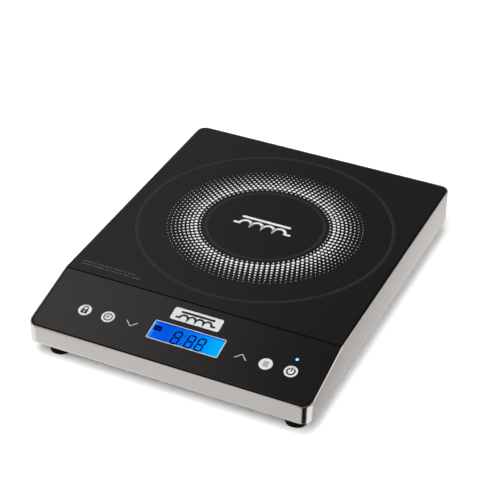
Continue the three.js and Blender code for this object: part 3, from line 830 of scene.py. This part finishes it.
def display_material():
    """The lit liquid-crystal panel: deeper blue at the left, paler at the right, a dark band at the top."""
    look = Look("display_light", (0.0, 0.01, 0.04), 0.12)
    x, y, _ = look.parts(look.node("ShaderNodeTexCoord").outputs["Object"])
    left = (WINDOW.x - WINDOW.width / 2) * MM
    top = CREASE_Y + (WINDOW.v + WINDOW.height / 2) * MM * math.cos(SLOPE_ANGLE)
    across_stops = (
        (0.0, srgb(50, 160, 255)), (0.07, srgb(0, 90, 230)), (0.25, srgb(0, 80, 215)),
        (0.6, srgb(0, 120, 245)), (1.0, srgb(0, 180, 255)),
    )
    down_stops = ((0.0, srgb(80, 130, 238)), (0.08, srgb(95, 148, 242)), (0.13, WHITE), (1.0, WHITE))
    wash = look.ramp(look.spread(x, 0, 1, left, left + WINDOW.width * MM), across_stops)
    band = look.ramp(look.spread(y, 1, 0, top - WINDOW.height * MM, top), down_stops)
    look.link(look.mix(1.0, wash, band, "MULTIPLY"), look.shader.inputs["Emission Color"])
    return look.set(Emission_Strength=1.0, Specular_IOR_Level=0.02).material


def display():
    """The window's lit panel, its pale border, and the dark figures."""
    x, v = WINDOW.x, WINDOW.v
    glow = Marks(PANEL_PLANE, GLASS_THICKNESS / MM, GLASS_THICKNESS / MM)
    glow.patch(rounded(WINDOW.width - 1.9, WINDOW.height - 1.9, 0.7, (x + 0.1, v), 5))
    stand_in(glow.solid("display_face", display_material()), "display_lens", "display_glass")
    border = Marks(PANEL_PLANE, 3, 3.02)
    border.stroke(rounded(WINDOW.width - 1.2, WINDOW.height - 1.2, 1.0, (x + 0.1, v), 5), 0.7, True)
    border.print("display_border", "border_print", (236, 222, 206))
    figures = Marks(PANEL_PLANE, 0, 0.03)
    draw_figures(figures)
    figures.print("display_figures", "segment_ink", (0, 0, 66), 0.5, 0.0)
    faint = Marks(PANEL_PLANE, 0, 0.03)
    for up in (2.0, -7.5):
        faint.patch(rounded(1.4, 1.4, 0.3, (x - 2.0, v + up), 2))
    faint.print("display_colon", "faint_ink", (0, 62, 180), 0.5, 0.0)
    bar = Marks(PANEL_PLANE, -0.03, 0.03)
    bar.patch(rounded(5.6, 1.0, 0.3, (x - 31, v + 2.2), 2))
    bar.print("display_label_bar", "label_bar_ink", (0, 50, 150), 0.5, 0.0)


# The ends of a figure's seven segments, as parts of its width and height.
SEGMENTS = (
    ((0, 1), (1, 1)), ((0, 0.5), (1, 0.5)), ((0, 0), (1, 0)),
    ((0, 1), (0, 0.5)), ((0, 0.5), (0, 0)), ((1, 1), (1, 0.5)), ((1, 0.5), (1, 0)),
)


def draw_figures(marks):
    """Three plain seven-segment figures with every segment lit, and a blank label beside them."""
    width, height, lean, foot = 6.7, 15.0, 0.065, -9.9
    level_weight, upright_weight, gap, tip_length = 1.0, 0.85, 0.85, 0.6
    for left in (-12.4, 2.0, 12.8):
        for segment in SEGMENTS:
            ends = []
            for across_part, up_part in segment:
                up = up_part * height
                ends.append(Vector((left + across_part * width + lean * (up - height / 2), foot + up)))
            along = (ends[1] - ends[0]).normalized()
            start, end = ends[0] + along * gap, ends[1] - along * gap
            side = Vector((-along.y, along.x)) * (level_weight if abs(along.x) > 0.5 else upright_weight)
            tip = along * tip_length
            outline = [start - tip, start - side, end - side, end + tip, end + side, start + side]
            marks.patch([(WINDOW.x + p.x, WINDOW.v + p.y) for p in outline])
    marks.patch(rounded(8.4, 6.1, 0.4, (WINDOW.x - 31, WINDOW.v + 2.2), 3))
    tick = [(-25.2, -10.1), (-23.6, -10.1), (-24.2, -8.9)]
    marks.patch([(WINDOW.x + x, WINDOW.v + v) for x, v in tick])


def light():
    """The small blue indicator, a clear dome with its lit core."""
    look = Look("light_glow", (0.1, 0.4, 0.9), 0.2)
    start = look.node("ShaderNodeTexCoord")
    mapping = look.node("ShaderNodeMapping")
    core = PANEL_PLANE @ Vector(((LIGHT.x + 0.2) * MM, (LIGHT.v - 0.5) * MM, 0))
    mapping.inputs["Location"].default_value = [-c for c in core]
    length = look.node("ShaderNodeVectorMath", operation="LENGTH")
    look.link(start.outputs["Object"], mapping.inputs["Vector"])
    look.link(mapping.outputs["Vector"], length.inputs[0])
    stops = (
        (0.0, srgb(235, 250, 255)), (0.35, srgb(150, 225, 255)),
        (0.7, srgb(20, 140, 255)), (1.0, srgb(0, 90, 235)),
    )
    away = look.spread(length.outputs["Value"], 0, 1, 0, 2.1 * MM)
    look.link(look.ramp(away, stops), look.shader.inputs["Emission Color"])
    look.set(Emission_Strength=1.1)
    radius = (LIGHT.width - 0.6) / 2
    profile = [(0, LIGHT.low), (radius, LIGHT.low), (radius, -0.6)]
    profile += [(radius * math.cos(a), -0.6 + 0.6 * math.sin(a)) for a in (0.4, 0.8, 1.2)]
    dome = turned("light_dome", [*profile, (0, 0)], look.material, LIGHT.matrix(), 32)
    stand_in(dome, "power_led", "led")


# ---- Turned pieces ----
def turned(name, profile, material, place, steps=48):
    """A solid turned about the local Z axis from (radius, height) points in millimetres, then placed."""
    work = bmesh.new()
    closed = profile[0][0] > 0
    turns = [2 * math.pi * step / steps for step in range(steps)]
    rings = []
    for radius, height in profile:
        rings.append([work.verts.new(place @ polar(radius, turn, height)) for turn in turns])
    for i in range(len(rings) if closed else len(rings) - 1):
        after = rings[(i + 1) % len(rings)]
        for j in range(steps):
            beside = (j + 1) % steps
            work.faces.new((rings[i][j], rings[i][beside], after[beside], after[j]))
    bmesh.ops.remove_doubles(work, verts=work.verts, dist=1e-7)
    return add_piece(name, finished(name, work), material)


def feet():
    """Round rubber feet with a soft lower edge, a fine groove and the screw's recess."""
    material = rubber("foot_rubber", (0.004, 0.0032, 0.0028), 0.05)
    for corner in CORNERS:
        node = f"foot_{corner}"
        width, _, height = size_of(node)
        radius = width / 2
        profile = [(5.2, 0.4), (5.6, 0), (radius - 0.4, 0), (radius - 0.1, 0.12), (radius, 0.4)]
        profile += [(radius, 4.2), (radius - 0.25, 4.5), (radius, 4.8), (radius, height - 0.5)]
        profile += [(radius - 0.5, height), (2.3, height), (2.3, 6), (5.2, 6)]
        stand_in(turned(f"rubber_foot_{corner}", profile, material, standing(node)), node, "foot_rubber")


def gland():
    """The cord's bushing, snapped into the rear wall, with a chamfered flange and a rounded mouth."""
    middle = middle_of("cord_gland")
    # On the outside of the rear wall, with the Z axis pointing out of it.
    place = Matrix.Translation((middle.x, STEEL_HIGH.y, middle.z)) @ Matrix.Rotation(-math.pi / 2, 4, "X")
    profile = [(4.6, -5.5), (9.3, -5.5), (9.6, -5.2), (9.6, -1.6), (7.9, -1.6), (7.9, 0.3), (11.2, 0.3)]
    profile += [(11.5, 0.6), (11.5, 2.6), (11.2, 3.1), (10.2, 4.1), (9.9, 4.0), (9.5, 4.4), (9.6, 4.8)]
    profile += [(9.1, 5.7), (8.6, 6), (5.6, 6), (5.0, 5.8), (4.6, 5.2)]
    material = grained_plastic("gland_plastic", (0.012, 0.012, 0.013))
    stand_in(turned("gland_bushing", profile, material, place, 64), "cord_gland", "gland_plastic")


def screw(node, material, shank, head_height):
    """A pan-head screw with a cross recess, its head at the low end of the node."""
    width, _, length = size_of(node)
    head = width / 2
    place = standing(node)
    profile = [(0, 0), (head * 0.55, 0), (head * 0.78, 0.2), (head * 0.95, head_height * 0.45)]
    profile += [(head, head_height * 0.8), (head, head_height), (shank, head_height)]
    for i in range(int(length - head_height - 1)):
        z = head_height + 0.4 + i
        profile += [(shank * 0.8, z), (shank, z + 0.5)]
    profile += [(shank * 0.8, length - 0.5), (0, length)]
    piece = turned(f"{node}_zinc", profile, material, place, 20)
    slit = head * 0.225
    for across_x, across_y in ((head, slit), (slit, head)):
        outline = rounded(across_x * MM, across_y * MM, 0.1 * MM, steps=2)
        boolean(piece, tool_object("recess", *prism(outline, place, -0.5 * MM, 0.9 * MM)))
    stand_in(piece, node, "screw")


def screws():
    material = metal("zinc_plate", (0.55, 0.55, 0.56), 0.32)
    for i in range(1, 7):
        screw(f"base_screw_{i}", material, 1.7, 1.6)
    for corner in CORNERS:
        screw(f"foot_screw_{corner}", material, 2, 2.6)
    for side in ("left", "right"):
        node = f"control_screw_{side}"
        spot = Place(node)
        length = spot.high - spot.low
        profile = [(0, 0), (1.6, 0), (2.4, 0.4), (2.6, 1), (2.6, 1.8)]
        profile += [(1.25, 1.8), (1.25, length), (0, length)]
        stand_in(turned(f"{node}_zinc", profile, material, spot.matrix(spot.low), 24), node, "screw")


def refined(node, material, slot_name, bevel):
    """A CAD node's own shape with its edges rounded, in a material of its own."""
    source = frame["nodes"][node]
    mesh = source.data.copy()
    work = bmesh.new()
    work.from_mesh(mesh)
    bmesh.ops.remove_doubles(work, verts=work.verts, dist=1e-6)
    bmesh.ops.dissolve_limit(work, angle_limit=math.radians(1), verts=work.verts, edges=work.edges)
    work.to_mesh(mesh)
    work.free()
    piece = add_piece(f"{node}_finished", mesh, material, source["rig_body"])
    rounding = piece.modifiers.new("rounding", "BEVEL")
    rounding.width = bevel * MM
    rounding.segments = 2
    rounding.limit_method = "ANGLE"
    rounding.angle_limit = math.radians(40)
    apply_modifiers(piece)
    shade(piece.data)
    stand_in(piece, node, slot_name)


# ---- Wire ----
def tube(path, radius, sides=8):
    """Points and faces of a round wire along a path in metres, with flat ends."""
    points, faces = [], []
    side = None
    for i, here in enumerate(path):
        along = (path[min(i + 1, len(path) - 1)] - path[max(i - 1, 0)]).normalized()
        if side is None:
            side = along.orthogonal().normalized()
        side = (side - along * side.dot(along)).normalized()
        other = along.cross(side)
        for x, y in ring_points(0, 0, radius, sides):
            points.append(here + side * x + other * y)
    for start in range(0, len(points) - sides, sides):
        faces += [tuple(i + start for i in face) for face in wall(sides)]
    faces += [tuple(range(sides)), tuple(range(len(points) - sides, len(points)))]
    return points, faces


def wire_piece(name, path, radius, sides, material):
    """A round wire as one piece, shaded smooth all over."""
    return add_piece(name, new_mesh(name, *tube(path, radius, sides)), material, ROOT, math.pi)


def windings():
    """The two flat spirals of stranded copper."""
    look = Look("stranded_copper", (0.62, 0.26, 0.11), 0.35, 1.0)
    strands = look.noise(1, 2, (260, 260, 2600))
    look.vary_color(strands, 0.7, 1.15)
    look.vary_roughness(strands, 0.28, 0.5)
    look.bump(strands, 0.12 * MM, 0.8)
    steps_a_turn = 56
    for node, inner in (("coil_inner", 24), ("coil_outer", 62)):
        width, _, height = size_of(node)
        wire = height / 2 * 0.86
        reach = width / 2 - inner - 2 * wire
        turns = reach / (2 * wire + 0.12)
        steps = int(turns * steps_a_turn)
        place = Matrix.Translation((HOB_CENTRE.x, HOB_CENTRE.y, middle_of(node).z))
        path = []
        for i in range(steps + 1):
            part = i / steps
            path.append(place @ polar(inner + wire + reach * part, 2 * math.pi * turns * part))
        stand_in(wire_piece(f"{node}_winding", path, wire * MM, 8, look.material), node, "winding")


def touch_springs():
    """Small springs that reach from the board to the glass, flaring to a flat end coil."""
    material = metal("spring_wire", (0.6, 0.6, 0.6), 0.28)
    turns, steps = 6, 6 * 24
    narrow, widening, flare_start, flare_length = 2.8, 2.2, 0.55, 0.3
    for key in KEYS:
        node = f"touch_spring_{key}"
        spot = Place(node)
        place = spot.matrix(spot.low)
        path = []
        for i in range(steps + 1):
            part = i / steps
            rise = min(part * 1.2, 1) * (spot.high - spot.low - 0.8) + 0.4
            radius = narrow + widening * min(max(part - flare_start, 0) / flare_length, 1)
            path.append(place @ polar(radius, 2 * math.pi * turns * part, rise))
        stand_in(wire_piece(f"{node}_coil", path, 0.33 * MM, 6, material), node, "spring_steel")


def choke():
    """A ring core wound with enamelled wire."""
    place = standing("line_choke")
    core = [(7.3, 2.6), (8.6, 1.3), (13.4, 1.3), (14.7, 2.6)]
    core += [(14.7, 10.4), (13.4, 11.7), (8.6, 11.7), (7.3, 10.4)]
    ring = turned("choke_core", core, grained_plastic("choke_core", (0.02, 0.05, 0.03)), place, 48)
    steps_a_turn, wound_part = 16, 0.93
    steps = 34 * steps_a_turn
    path = []
    for i in range(steps + 1):
        around = 2 * math.pi * i / steps_a_turn
        radius = 11 + 4.3 * max(-1, min(1, 1.25 * math.cos(around)))
        rise = 6.5 + 5.8 * max(-1, min(1, 1.25 * math.sin(around)))
        path.append(place @ polar(radius, 2 * math.pi * wound_part * i / steps, rise))
    look = Look("enamelled_wire", (0.5, 0.15, 0.05), 0.3, 1.0)
    look.vary_color(look.noise(400, 2), 0.8, 1.15)
    look.vary_roughness(look.noise(900, 2), 0.24, 0.4)
    stand_in(wire_piece("choke_wire", path, 0.62 * MM, 6, look.material), "line_choke", "choke_winding")


def buzzer():
    """A low can with the hole its sound leaves by."""
    spot = Place("buzzer")
    profile = [(0, 0), (5.6, 0), (6, 0.4), (6, 5.1), (5.6, 5.5), (2.2, 5.5), (2, 5.3), (2, 4.5), (0, 4.5)]
    material = grained_plastic("buzzer_plastic", (0.012, 0.012, 0.012))
    stand_in(turned("buzzer_can", profile, material, spot.matrix(spot.low), 40), "buzzer", "buzzer_plastic")


def sensor():
    """The silicone cap of the glass sensor, wider at the top."""
    node = "glass_thermistor"
    height = size_of(node)[2]
    profile = [(0, 0), (6.1, 0), (6.5, 0.4), (6.5, 5.3), (8.6, 5.3), (9, 5.7)]
    profile += [(9, height - 0.5), (8.5, height), (0, height)]
    place = Matrix.Translation((HOB_CENTRE.x, HOB_CENTRE.y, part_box(node)[0].z))
    material = rubber("sensor_silicone", (0.26, 0.045, 0.03))
    stand_in(turned("sensor_cap", profile, material, place), node, "silicone")


def bearing():
    """The fan's bronze bush, chamfered at both ends."""
    node = "fan_bearing"
    height = size_of(node)[2]
    profile = [(1.8, 0.2), (2, 0), (2.5, 0), (2.7, 0.2)]
    profile += [(2.7, height - 0.2), (2.5, height), (2, height), (1.8, height - 0.2)]
    bronze = metal("bearing_bronze", (0.5, 0.34, 0.14), 0.35)
    stand_in(turned("bearing_bush", profile, bronze, standing(node), 32), node, "bearing")


def board_mask():
    """Green solder mask over fine copper tracks."""
    look = Look("board_mask", (0.012, 0.085, 0.035), 0.35)
    tracks = look.node("ShaderNodeTexBrick")
    tracks.inputs["Scale"].default_value = 160
    tracks.inputs["Mortar Size"].default_value = 0.03
    tracks.inputs["Color1"].default_value = (0.3, 0.3, 0.3, 1)
    tracks.inputs["Color2"].default_value = (0.6, 0.6, 0.6, 1)
    tracks.inputs["Mortar"].default_value = (1, 1, 1, 1)
    look.link(look.coordinates(), tracks.inputs["Vector"])
    look.vary_color(tracks.outputs["Color"], 0.8, 1.5)
    look.vary_roughness(look.noise(300, 2), 0.3, 0.42)
    look.bump(tracks.outputs["Color"], 0.02 * MM, 0.5)
    return look.material


def mica():
    """Pressed mica flakes."""
    look = Look("mica_flakes", (0.42, 0.32, 0.17), 0.4)
    flakes = look.node("ShaderNodeTexVoronoi")
    flakes.inputs["Scale"].default_value = 260
    look.link(look.coordinates(), flakes.inputs["Vector"])
    look.vary_color(flakes.outputs["Distance"], 0.8, 1.2)
    look.vary_roughness(flakes.outputs["Distance"], 0.3, 0.55)
    return look.material


def fan_copper():
    """The stator's copper, wound in fine layers."""
    look = Look("fan_copper", (0.6, 0.24, 0.1), 0.35, 1.0)
    layers = look.noise(1, 1, (300, 300, 3000))
    look.vary_color(layers, 0.75, 1.15)
    look.vary_roughness(layers, 0.28, 0.45)
    look.bump(layers, 0.1 * MM, 0.7)
    return look.material


def transformer_tape():
    """Amber tape, with the edges of its layers."""
    look = Look("transformer_tape", (0.5, 0.38, 0.06), 0.35)
    look.vary_color(look.noise(1, 2, (30, 30, 900)), 0.85, 1.1)
    look.vary_roughness(look.noise(250, 3), 0.28, 0.45)
    return look.material


def inner_parts():
    """The pieces that keep the frame's own shapes, with rounded edges."""
    base = grained_plastic("base_plastic", (0.014, 0.014, 0.015), 0.65, 1100, 0.03)
    black = grained_plastic("black_plastic", (0.013, 0.013, 0.014))
    ferrite = grained_plastic("ferrite_ceramic", (0.03, 0.028, 0.026), 0.7, 600, 0.05)
    aluminium = metal("extruded_aluminium", (0.6, 0.61, 0.62), 0.4, (1, 0.05, 1), 1500)
    resin = grained_plastic("device_resin", (0.015, 0.015, 0.016), 0.5, 1800)
    film = grained_plastic("capacitor_case", (0.03, 0.09, 0.25), 0.35, 700, 0.01)
    fuse = grained_plastic("fuse_ceramic", (0.66, 0.64, 0.58), 0.35, 500, 0.01)
    nylon = grained_plastic("terminal_nylon", (0.62, 0.61, 0.57), 0.5, 900)
    groups = (
        (("base_cover",), base, "base_plastic", 0.4),
        (("glass_gasket", "panel_gasket"), rubber("gasket_silicone", (0.02, 0.02, 0.02)), "gasket", 0.12),
        (("control_board", "power_board"), board_mask(), "circuit_board", 0.1),
        (("lcd_module",), grained_plastic("lcd_frame", (0.16, 0.165, 0.17)), "lcd_frame", 0.3),
        (("coil_carrier",), black, "carrier_plastic", 0.3),
        (("mica_sheet",), mica(), "mica", 0.08),
        ([f"ferrite_bar_{i}" for i in range(1, 7)], ferrite, "ferrite", 0.3),
        (("fan_frame",), black, "fan_plastic", 0.25),
        (("fan_rotor",), black, "fan_plastic", 0.2),
        (("fan_stator",), fan_copper(), "winding", 0.4),
        (("heatsink",), aluminium, "heatsink", 0.2),
        (("power_transistor", "bridge_rectifier"), resin, "device_resin", 0.3),
        (("resonant_capacitor", "filter_capacitor"), film, "film_capacitor", 0.5),
        (("line_fuse",), fuse, "fuse_body", 0.3),
        (("standby_transformer",), transformer_tape(), "transformer_tape", 0.3),
        (("mains_terminal",), nylon, "terminal_plastic", 0.3),
    )
    for nodes, material, slot_name, bevel in groups:
        for node in nodes:
            refined(node, material, slot_name, bevel)


# ---- Stage ----
# Whiter than paint, for a plain white ground under few lamps.
FLOOR_SHADE = 1.5
# Three equal lamps: from the front right, from the front, and from nearly overhead.
# Degrees round the body from the front towards the right, and degrees up.
LAMPS = ((40, 45), (0, 45), (0, 75))
LAMP_POWER = 1.15
LAMP_SPREAD = math.radians(30)
# Brightness of the walls at each angle round the body, from -180 to 180 degrees with 0 in front.
WALLS = (
    (-180, 1.05), (-150, 1.15), (-60, 1.45), (-43, 1.2), (-38, 0.86), (-22, 0.82), (-2, 0.8), (25, 0.8),
    (50, 1.4), (124, 1.4), (129, 0.35), (144, 0.45), (157, 0.63), (166, 1.09), (180, 1.15),
)
# The tall narrow box that stands behind on the right, at the same angles.
RIGHT_BOX = ((0, 0.0), (115, 0.0), (121, 1.0), (130, 1.0), (140, 0.55), (157, 0.5), (163, 0.0), (180, 0.0))
# The black card by the front right corner: how far from it, between which angles and which heights.
CARD_DISTANCE = 0.07
CARD_ANGLES = (14, 58)
CARD_HEIGHTS = (-0.25, 0.055)


def staged(name, points, faces, look):
    """A part of the room, which the steel and the glass don't mirror."""
    mesh = new_mesh(name, points, faces)
    mesh.materials.append(look.material)
    thing = linked(name, mesh)
    thing.visible_glossy = False
    return thing


def toward(azimuth, elevation):
    """A direction out from the body, in degrees round from the front towards the right, and up."""
    around, up = math.radians(azimuth), math.radians(elevation)
    return Vector((math.sin(around) * math.cos(up), -math.cos(around) * math.cos(up), math.sin(up)))


def floor():
    """A plain white floor, and far round it a white wall that only the camera sees."""
    white = Look("floor_white", (FLOOR_SHADE,) * 3, 0.9)
    white.vary_color(white.noise(3, 2), 0.99, 1.0)
    reach = 15.0
    corners = [(-reach, -reach, 0), (reach, -reach, 0), (reach, reach, 0), (-reach, reach, 0)]
    staged("floor", corners, [(0, 1, 2, 3)], white)
    paper = Look("backdrop_white", (0.9, 0.9, 0.9), 0.9)
    paper.vary_color(paper.noise(2, 2), 0.99, 1.0)
    paper.set(Emission_Color=(*WHITE, 1), Emission_Strength=1.0)
    radius, sides, bottom, height = 12, 48, -0.01, 20
    points = [(x, y, z) for z in (bottom, height) for x, y in ring_points(0, 0, radius, sides)]
    backdrop = staged("backdrop", points, wall(sides), paper)
    backdrop.visible_diffuse = False
    backdrop.visible_shadow = False


def black_card():
    """A card that only the steel and glass mirror: it draws the dark line down the front right corner."""
    look = Look("black_card", (0.003, 0.003, 0.003), 0.9)
    look.vary_color(look.noise(40, 2), 0.9, 1.1)
    look.set(Specular_IOR_Level=0.0)
    center = Vector((STEEL_HIGH.x - CORNER_RADIUS, STEEL_LOW.y + CORNER_RADIUS, 0))
    ends = [center + toward(angle, 0) * CARD_DISTANCE for angle in CARD_ANGLES]
    points = [end + Vector((0, 0, z)) for z in CARD_HEIGHTS for end in ends]
    card = staged("black_card", points, [(0, 1, 3, 2)], look)
    card.visible_glossy = True
    card.visible_camera = False
    card.visible_diffuse = False
    card.visible_shadow = False


def lamp(number, azimuth, elevation):
    """A broad, far light with no fall-off, which the steel and the glass don't mirror."""
    light_data = bpy.data.lights.new(f"lamp_{number}", "SUN")
    light_data.energy = LAMP_POWER
    light_data.angle = LAMP_SPREAD
    stand = linked(light_data.name, light_data)
    stand.rotation_euler = toward(azimuth, elevation).to_track_quat("Z", "Y").to_euler()
    stand.visible_glossy = False


def camera():
    """The usual view, from the front right and above, with a long lens."""
    azimuth, elevation, roll = 24.57, 34.95, math.radians(0.66)
    distance, lens, sensor_width = 1.7358, 118.99, 36
    target = Vector((-0.0181, 0.0381, 0.020))
    back, right = toward(azimuth, elevation), toward(azimuth + 90, 0)
    up = back.cross(right)
    right, up = (
        right * math.cos(roll) + up * math.sin(roll),
        up * math.cos(roll) - right * math.sin(roll),
    )
    data = bpy.data.cameras.new("camera")
    data.sensor_width = sensor_width
    data.lens = lens
    view = linked("camera", data)
    turn = Matrix((right, up, back)).transposed().to_4x4()
    view.matrix_world = Matrix.Translation(target + back * distance) @ turn
    bpy.context.scene.camera = view


def surroundings():
    """The room as the steel and glass mirror it: pale walls low down, a dark ceiling, and soft boxes."""
    world = bpy.data.worlds.new("studio")
    bpy.context.scene.world = world
    world.use_nodes = True
    room = Nodes(world.node_tree)
    x, y, z = room.parts(room.node("ShaderNodeTexCoord").outputs["Generated"])
    round_body = room.spread(room.math("ARCTAN2", x, room.math("MULTIPLY", y, -1)), 0, 1, -math.pi, math.pi)
    walls, right_box = (
        room.ramp(round_body, [((angle + 180) / 360, (value,) * 3) for angle, value in stops])
        for stops in (WALLS, RIGHT_BOX)
    )
    left_box = room.math(
        "MULTIPLY",
        room.spread(x, 1, 0, -0.46, -0.27, "SMOOTHSTEP"),
        room.spread(z, 0.2, 1, 0.55, 0.85),
    )
    front_box = room.math(
        "MULTIPLY",
        room.spread(y, 1, 0, -0.1, 0.1, "SMOOTHSTEP"),
        room.spread(room.math("ABSOLUTE", room.math("ADD", x, 0.34)), 1, 0, 0.08, 0.16, "SMOOTHSTEP"),
    )
    ceiling = room.ramp(left_box, ((0.0, (0.155, 0.15, 0.148)), (1.0, (0.92, 0.85, 0.84))))
    ceiling = room.mix(front_box, ceiling, room.ramp(z, ((0.0, (0.95,) * 3), (1.0, (0.85,) * 3))))
    ceiling = room.mix(right_box, ceiling, room.ramp(z, ((0.0, (1.9,) * 3), (1.0, (1.6,) * 3))))
    whole = room.mix(room.spread(z, 0, 1, -0.12, 0.1, "SMOOTHSTEP"), walls, ceiling)
    room.link(whole, room.tree.nodes["Background"].inputs["Color"])
    world.cycles.sampling_method = "NONE"
    world.cycles_visibility.diffuse = False


def studio():
    for number, direction in enumerate(LAMPS, 1):
        lamp(number, *direction)
    black_card()
    surroundings()
    bpy.context.scene.view_settings.view_transform = "Standard"


camera()
housing()
trim()
hob_glass()
control_glass()
zone_lines()
zone_dots()
hob_sign()
caution_strokes()
key_faces()
arrows()
key_signs()
nameplate()
display()
light()
feet()
gland()
screws()
windings()
touch_springs()
choke()
buzzer()
sensor()
bearing()
inner_parts()
floor()
studio()
